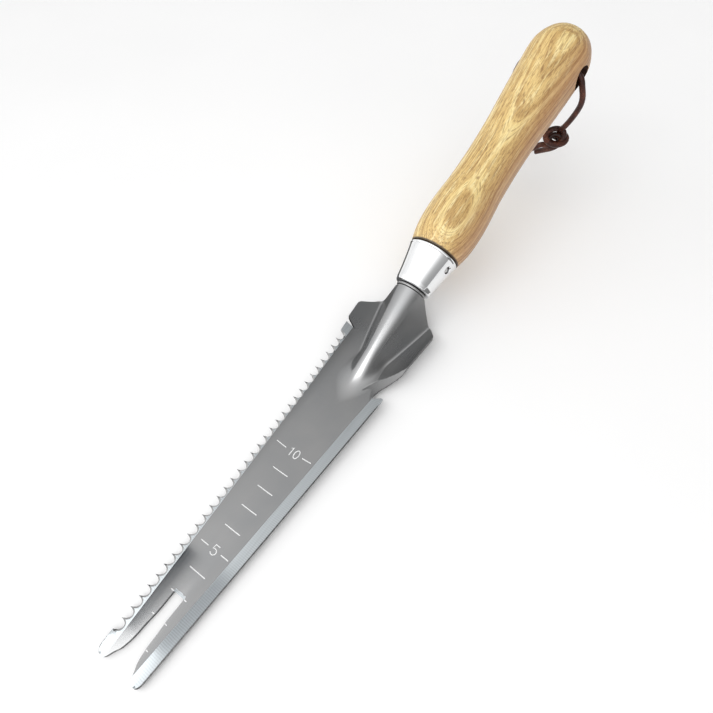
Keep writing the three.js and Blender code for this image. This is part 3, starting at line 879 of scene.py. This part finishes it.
def smooth_sheet(made):
    """Gives the unground faces the exact normals of their surface, so that reflections run smooth."""
    mesh = made.data
    places = np.array([v.co for v in mesh.vertices]) / MM - np.array(ZERO)
    x, y, z = places.T
    slope_x, slope_y = slopes(x, y)
    stand = standing(x, y)
    upright = np.stack([-slope_x, -slope_y, np.ones_like(x)], -1) / stand[:, None]
    near, facing = 0.03, 0.7  # how close to its surface and how square to it a face's corner has to be
    on_top = np.abs(z - upper(x, y)) < near
    on_under = np.abs(z - upper(x, y) + SHEET * stand) < near
    normals = [(0, 0, 0)] * len(mesh.loops)
    for face in mesh.polygons:
        if face.material_index != SHEET_ZONE:
            continue
        side = 1 if face.normal.z > 0 else -1
        fits = on_top if side > 0 else on_under
        for loop, vertex in zip(face.loop_indices, face.vertices):
            wanted = upright[vertex] * side
            if fits[vertex] and wanted @ np.array(face.normal) > facing:
                normals[loop] = tuple(wanted)
    mesh.normals_split_custom_set(normals)


def trim_neck(made):
    """Cuts the neck square to the handle's axis, just short of the ferrule."""
    side = 60.0
    corners = [on_handle(x * side, NECK_CUT + (side if far else 0), z * side)
               for far in (0, 1) for x, z in ((-1, -1), (1, -1), (1, 1), (-1, 1))]
    faces = [(0, 1, 2, 3), (7, 6, 5, 4), (0, 4, 5, 1), (1, 5, 6, 2), (2, 6, 7, 3), (3, 7, 4, 0)]
    cut(made, make_piece("neck_trim", corners, faces, [], "blade_steel", smooth=False))


# --- Etched scale ---

MARK_WIDTH, MARK_PROUD, MARK_SUNK, MARK_HALF, MARK_STEP = 0.38, 0.02, 0.05, 4.04, 0.8
# Marks as centimetre, left end and right end: whole ones, those beside a number, those at the slot
MARKS = [(centimetre, -MARK_HALF, MARK_HALF) for centimetre in (4, 6, 7, 8, 9)]
MARKS += [(5, -7.42, -3.8), (5, 3.0, 7.19), (10, -9.97, -5.0), (10, 4.0, 8.975)]
MARKS += [(1, -4.75, -3.65), (1, 3.65, 4.75), (2, -4.0, -2.95), (2, 2.95, 4.0),
          (3, -MARK_HALF, -2.8), (3, 2.8, MARK_HALF)]
FIVE = [(1.15, 2.0), (-0.95, 2.0), (-1.1, 0.2), (-0.3, 0.55), (0.6, 0.4), (1.2, -0.4), (1.1, -1.3),
        (0.4, -1.95), (-0.5, -1.95), (-1.2, -1.4)]
ONE = [(-0.7, 1.2), (0.1, 2.0), (0.1, -2.0)]
NOUGHT = [(1.15 * cos(k * pi / 8), 2.0 * sin(k * pi / 8)) for k in range(17)]
FIGURES = [(FIVE, -0.4, 50), (ONE, -2.1, 100), (NOUGHT, 0.8, 100)]


def etch(strokes):
    """A thin ribbon pressed onto the trough along each stroke."""
    points, faces = [], []
    for stroke in strokes:
        line = [Vector(p) for p in stroke]
        first = len(points)
        for k, p in enumerate(line):
            along = (line[min(k + 1, len(line) - 1)] - line[max(k - 1, 0)]).normalized()
            side = Vector((-along.y, along.x)) * (MARK_WIDTH / 2)
            for at in (p + side, p - side):
                height = trough(at.x)
                normal = Vector((-at.x, 0, TROUGH_RADIUS - height)) / TROUGH_RADIUS
                on = Vector((at.x, at.y, height))
                points += [on + normal * MARK_PROUD, on - normal * MARK_SUNK]
        for k in range(len(line) - 1):
            a, b = first + 4 * k, first + 4 * k + 4
            faces += [(a, a + 2, b + 2, b), (a + 1, b + 1, b + 3, a + 3),
                      (a, b, b + 1, a + 1), (a + 2, a + 3, b + 3, b + 2)]
        a, b = first, first + 4 * (len(line) - 1)
        faces += [(a, a + 1, a + 3, a + 2), (b, b + 2, b + 3, b + 1)]
    return points, faces


def scale_marks():
    strokes = []
    for centimetre, left, right in MARKS:
        count = max(2, round((right - left) / MARK_STEP))
        strokes.append([(left + (right - left) * k / count, 10.0 * centimetre) for k in range(count + 1)])
    for figure, x, y in FIGURES:
        strokes.append([(x + p[0], y + p[1]) for p in figure])
    make_piece("scale_marks", *etch(strokes), [etched_white()], "blade_steel", smooth=False)


# --- Ferrule, nail and tang ---

def ferrule_radius(along):
    """Outer radius at a place along the handle's axis, which is below zero there."""
    share = -along / FERRULE_LENGTH
    straight = FERRULE_LIP + (FERRULE_NOSE - FERRULE_LIP) * share
    return straight - FERRULE_HOLLOW * sin(pi * share)


def from_nail(profile, segments):
    """A profile turned about the nail's axis, whose places along it are heights over the handle's."""
    turn = Matrix.Rotation(-NAIL_TURN, 3, "Y") @ Matrix.Rotation(radians(-90), 3, "Z")
    return lathe(profile, segments, turn, (0, NAIL_ALONG, 0))


def ferrule():
    nose, rounding = ferrule_radius(-FERRULE_LENGTH), FERRULE_ROUND
    outer = []
    for k in range(8, -1, -1):
        angle = radians(90 * k / 8)
        outer.append((-FERRULE_LENGTH + rounding * (1 - sin(angle)),
                      nose - rounding * (1 - cos(angle))))
    outer += [(a, ferrule_radius(a)) for a in np.arange(-FERRULE_LENGTH + 1.8, -1.6, 0.8)] + FERRULE_BEAD
    inner = [(a, ferrule_radius(a) - FERRULE_WALL) for a in np.arange(0, -FERRULE_LENGTH + 1.6, -2.0)]
    floor = -FERRULE_LENGTH + FERRULE_FLOOR
    inner += [(floor, ferrule_radius(floor) - FERRULE_WALL), (floor, FERRULE_HOLE + 0.2)]
    bore = [(floor - 0.2, FERRULE_HOLE), (-FERRULE_LENGTH + 0.3, FERRULE_HOLE),
            (-FERRULE_LENGTH, FERRULE_HOLE + 0.3)]
    made = make_piece("ferrule_shell", *lathe(outer + inner + bore, 128), [chrome()], "ferrule_chrome")
    dimple = [(6, 0), (6, NAIL_HOLE), (11.4, NAIL_HOLE), (12.6, NAIL_HOLE + 0.9),
              (20, NAIL_HOLE + 4), (20, 0)]
    cut(made, make_piece("nail_dimple", *from_nail(dimple, 40), [], "ferrule_chrome"))
    mark_sharp(made)
    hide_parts("ferrule")


def nail():
    top = ferrule_radius(NAIL_ALONG) - NAIL_SUNK
    shank = [(top - 6.8, 0), (top - 6.6, 0.5), (top - 5.8, 1.0), (top - 0.8, 1.0),
             (top - 0.8, NAIL_HEAD - 0.1)]
    dome = [(top - 0.62, NAIL_HEAD), (top - 0.3, NAIL_HEAD - 0.06), (top - 0.12, NAIL_HEAD - 0.45),
            (top - 0.03, NAIL_HEAD - 0.9), (top, 0)]
    shape = from_nail(shank + dome, 40)
    made = make_piece("ferrule_pin", *shape, [drawn_rod("nail_steel", 0.75)], "rod_steel")
    mark_sharp(made)
    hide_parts("ferrule_nail")


def tang():
    """The pointed rod and its collar between neck and ferrule."""
    r, low, high = TANG_RADIUS, COLLAR_START, COLLAR_END
    profile = [(TANG_START, 0), (TANG_START, r - 0.6), (TANG_START + 0.2, r - 0.2), (TANG_START + 0.6, r)]
    profile += [(a, r) for a in np.arange(TANG_START + 2, low - 1, 3.0)] + [(low, r + 0.1)]
    profile += [(low + face, COLLAR_RADIUS - rim) for face, rim in COLLAR_EDGE]
    profile += [(high - face, COLLAR_RADIUS - rim) for face, rim in COLLAR_EDGE[::-1]] + [(high, r + 0.1)]
    profile += [(a, r) for a in np.arange(high + 0.6, TANG_END - TANG_POINT, 3.0)]
    profile += [(TANG_END - TANG_POINT, r), (TANG_END - 0.6, 0.9), (TANG_END, 0)]
    made = make_piece("tang_rod", *lathe(profile, 48), [drawn_rod("drawn_rod", 0.5)], "rod_steel")
    mark_sharp(made)
    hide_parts("tang")


# --- Handle ---

def handle():
    """The turned grip, its spigot in the ferrule and its three bores."""
    inside = [(a, ferrule_radius(a) - FERRULE_WALL - FIT) for a in (-FERRULE_LENGTH + 1.7, -12, -6, 0)]
    inside.append((GRIP[0][0], inside[-1][1]))
    grip = curve_through([(a, r, 0) for a, r in GRIP], 8)
    profile = [(inside[0][0], 0)] + inside + [(p.x, p.y) for p in grip]
    profile += [(GRIP_LENGTH + a, r) for a, r in GRIP_CROWN]
    made = make_piece("handle_grip", *lathe(profile, 160), [ash_wood()], "handle_wood")
    bore = [(-40, 0), (-40, TANG_RADIUS + FIT), (TANG_END - 4, TANG_RADIUS + FIT), (TANG_END + 2, 0)]
    pilot = [(3, 0), (3, 1.3), (8, 1.3), (9, NAIL_HEAD + FIT), (20, NAIL_HEAD + FIT), (20, 0)]
    cut(made, make_piece("tang_bore", *lathe(bore, 48), [], "handle_wood"),
        make_piece("nail_bore", *from_nail(pilot, 32), [], "handle_wood"))
    # The lace's hole takes near-black paint: painted shade inside the hole.
    cut(made, make_piece("lace_bore", *cross_hole(), [painted_shade_bore()], "handle_wood"))
    mark_sharp(made)
    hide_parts("handle")


def cross_hole():
    """The cross hole with its flared, softly rounded mouths, as one cutting tool."""
    half = []
    for share in np.arange(9) / 8:
        half.append((HOLE_SURFACE - HOLE_TAPER * (1 - share),
                     HOLE_RADIUS + (HOLE_MOUTH - HOLE_RADIUS) * share ** HOLE_FLARE))
    half.append((HOLE_SURFACE + 3, HOLE_MOUTH + 3))
    profile = [(-half[-1][0], 0)] + [(-a, r) for a, r in half[::-1]] + half + [(half[-1][0], 0)]
    turn = Matrix.Rotation(radians(90), 3, "Z")
    return lathe(profile, 64, turn, (0, HOLE_ALONG, 0))


# --- Leather lace ---

# The knot's turns lie flat to the camera: its right, its up and the way toward it
RING_RIGHT = Vector((0.81073, 0.58360, -0.04610))
RING_UP = Vector((-0.46745, 0.69277, 0.54915))
RING_OUT = RING_RIGHT.cross(RING_UP)


def around_knot(turns):
    """Places on the knot: an angle in degrees, two radii and a depth each."""
    found = []
    for angle, wide, tall, depth in turns:
        a = radians(angle)
        found.append(tuple(KNOT + RING_RIGHT * (wide * cos(a)) + RING_UP * (tall * sin(a))
                           + RING_OUT * depth))
    return found


def lace(name, route, replaced):
    """A lace along a route of places from the middle of the cross hole."""
    points = curve_through([HOLE + Vector(p) for p in route], 2)
    curve = bpy.data.curves.new(name, "CURVE")
    curve.dimensions = "3D"
    curve.bevel_depth = LACE / 2 * MM
    curve.bevel_resolution = 6
    curve.use_fill_caps = True
    curve.resolution_u = 8
    spline = curve.splines.new("NURBS")
    spline.points.add(len(points) - 1)
    for target, p in zip(spline.points, points):
        target.co = (*place(p), 1)
    spline.order_u = 4
    spline.use_endpoint_u = True
    curve.materials.append(leather().material)
    made = add(name, curve)
    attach(made, "lanyard")
    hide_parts(*replaced)


def laces():
    ring = around_knot([(70, 6.4, 4.6, -1.2), (20, 6.6, 4.2, -0.9), (-40, 6.6, 4.2, -0.2),
                        (-100, 6.4, 4.4, 0.6), (-160, 6.6, 4.4, 1.4), (-215, 6.6, 4.4, 2.2),
                        (-265, 6.2, 4.2, 2.6), (-320, 5.2, 3.8, 2.2), (-385, 3.8, 3.4, -0.6),
                        (-450, 3.4, 4.4, -2.6)])
    lace("lace_right", RIGHT_RUN + ring + RIGHT_TAIL,
         ("thong_right", "thong_knot", "thong_tail_right"))
    behind = around_knot([(110, 3.0, 3.0, -3.2), (20, 3.4, 2.6, -3.4), (-70, 3.4, 2.6, -2.6),
                          (-160, 3.8, 2.4, -1.6), (-250, 3.8, 2.2, -0.8), (-330, 3.4, 2.2, -0.6),
                          (-420, 3.2, 3.2, -2.8)])
    lace("lace_left", LEFT_RUN + behind + LEFT_TAIL,
         ("thong_left", "thong_tail_left"))


# --- Floor, light and camera ---

# Brightness of the surroundings by how far a direction points along +Y, from the blade's tip side
SKY_ALONG = [(-1.0, 1.0), (-0.6, 1.6), (-0.38, 1.75), (-0.2, 1.25), (-0.08, 1.06), (0.3, 0.8),
             (0.42, 0.6), (0.54, 0.3), (1.0, 0.45)]
SKY_TOP = 2.0  # the brightest that the ramp holds
RIGHT_DIM = (0.3, 0.97, 1.0, 0.36)  # start and end along +X, and the share of light left at each
SOFTBOX_AT, SOFTBOX_SIZE, SOFTBOX_POWER = (-0.04, -0.3, 0.48), (0.5, 0.15), 0.6  # metres, watts
# Dark cards that only reflections show: (name, near corner, far corner, colour) in the blade frame
ON_FLOOR = 0.6 - ZERO.z  # a little over the floor
CARDS = [("tine_card", (-5, 8, 20), (7, 45, 20), (0.04, 0.06, 0.09)),
         ("left_card", (-75, 150, ON_FLOOR), (-14, 240, ON_FLOOR), (0.1, 0.1, 0.1)),
         ("right_card", (30, 110, ON_FLOOR), (400, 205, ON_FLOOR), (0.2, 0.2, 0.2))]


def sky():
    """Soft studio surroundings: a wide light beyond the tip, dimmer behind and on the right."""
    world = bpy.data.worlds.new("studio")
    bpy.context.scene.world = world
    world.use_nodes = True
    nodes = Nodes(world.node_tree)
    background = nodes.tree.nodes["Background"]
    background.inputs["Color"].default_value = (1, 1, 1, 1)
    direction = nodes.node("TexCoord").outputs["Generated"]

    def toward(target):
        return nodes.node("VectorMath", {0: direction, 1: target},
                          operation="DOT_PRODUCT").outputs["Value"]

    stops = [((along + 1) / 2, (bright / SKY_TOP,) * 3) for along, bright in SKY_ALONG]
    light = nodes.ramp(nodes.span(toward((0, 1, 0)), -1, 1, shape="LINEAR"), *stops, shape="EASE")
    dim = nodes.span(toward((1, 0, 0)), *RIGHT_DIM[:2], *(SKY_TOP * v for v in RIGHT_DIM[2:]))
    nodes.tree.links.new(nodes.math("MULTIPLY", light, dim), background.inputs["Strength"])


def softbox():
    data = bpy.data.lights.new("softbox", "AREA")
    data.shape = "RECTANGLE"
    data.size, data.size_y = SOFTBOX_SIZE
    data.energy = SOFTBOX_POWER
    made = add("softbox", data)
    made.location = SOFTBOX_AT
    made.rotation_euler = (-Vector(SOFTBOX_AT)).to_track_quat("-Z", "Y").to_euler()


def stage_sheet(name, low, high, finish):
    """A level sheet between two corners of the row frame, in metres."""
    mesh = bpy.data.meshes.new(name)
    mesh.from_pydata([low, (high[0], low[1], low[2]), high, (low[0], high[1], low[2])], [], [(0, 1, 2, 3)])
    mesh.materials.append(finish.material)
    made = add(name, mesh)
    return made


def studio():
    sky()
    softbox()
    stage_sheet("floor", (-4, -4, 0), (4, 4, 0), matt_paint("floor_paint", (0.95, 0.95, 0.95)))
    for name, low, high, colour in CARDS:
        card = stage_sheet(name, place(low), place(high), matt_paint(name, colour))
        card.visible_camera = False
        card.visible_diffuse = False
        card.visible_shadow = False
    bpy.context.scene.view_settings.view_transform = "Standard"


make_camera()
laces()
blade()
scale_marks()
ferrule()
nail()
tang()
handle()
studio()
